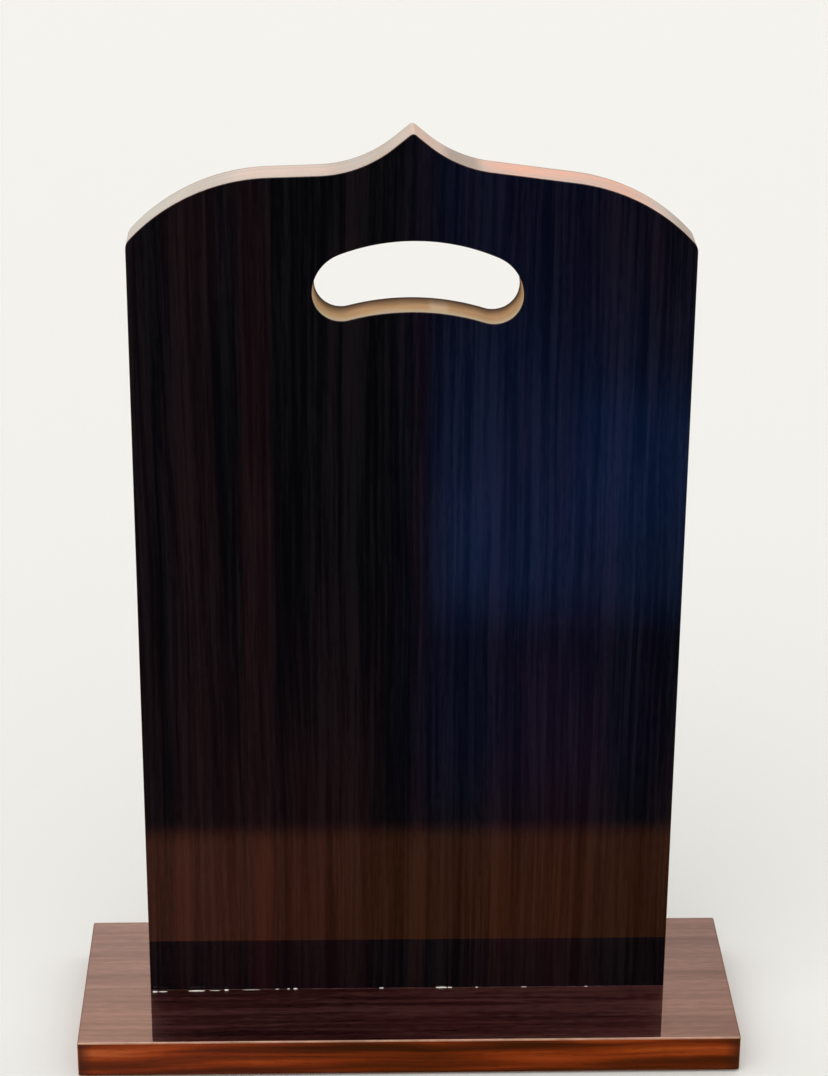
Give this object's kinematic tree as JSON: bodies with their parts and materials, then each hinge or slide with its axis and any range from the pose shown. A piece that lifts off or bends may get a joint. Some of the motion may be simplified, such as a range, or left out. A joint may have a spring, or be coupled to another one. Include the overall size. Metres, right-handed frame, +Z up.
{
  "type": "wooden plaque",
  "caption": "Upright veneered wooden award plaque with an ogee top and a bean-shaped hand slot, standing on a flat rectangular base.",
  "frame": {"origin": "middle of the base's footprint, on the surface that the plaque stands on", "axes": "+Z up to the peak of the panel, +X to the right along the base's long side, and the front faces -Y"},
  "size_m": [0.327, 0.114, 0.4657],
  "materials": {
    "face_veneer": "near-black ebony-grain veneer under high-gloss clear lacquer",
    "edge_band": "red-brown rosewood-grain edge veneer under high-gloss clear lacquer",
    "core_board": "pale tan fibreboard edge, sanded smooth and clear lacquered",
    "beech": "bare beech, fluted",
    "zinc_steel": "zinc-plated steel",
    "felt": "dense dark felt"
  },
  "bodies": {
    "root": {"panel_core": "core_board", "panel_front_veneer": "face_veneer", "panel_back_veneer": "face_veneer", "base_core": "core_board", "base_top_veneer": "face_veneer", "base_bottom_veneer": "face_veneer", "base_front_band": "edge_band", "base_rear_band": "edge_band", "base_left_band": "edge_band", "base_right_band": "edge_band", "dowel_left": "beech", "dowel_right": "beech", "screw_left": "zinc_steel", "screw_middle": "zinc_steel", "screw_right": "zinc_steel", "pad_front_left": "felt", "pad_front_right": "felt", "pad_rear_left": "felt", "pad_rear_right": "felt"}
  },
  "joints": []
}
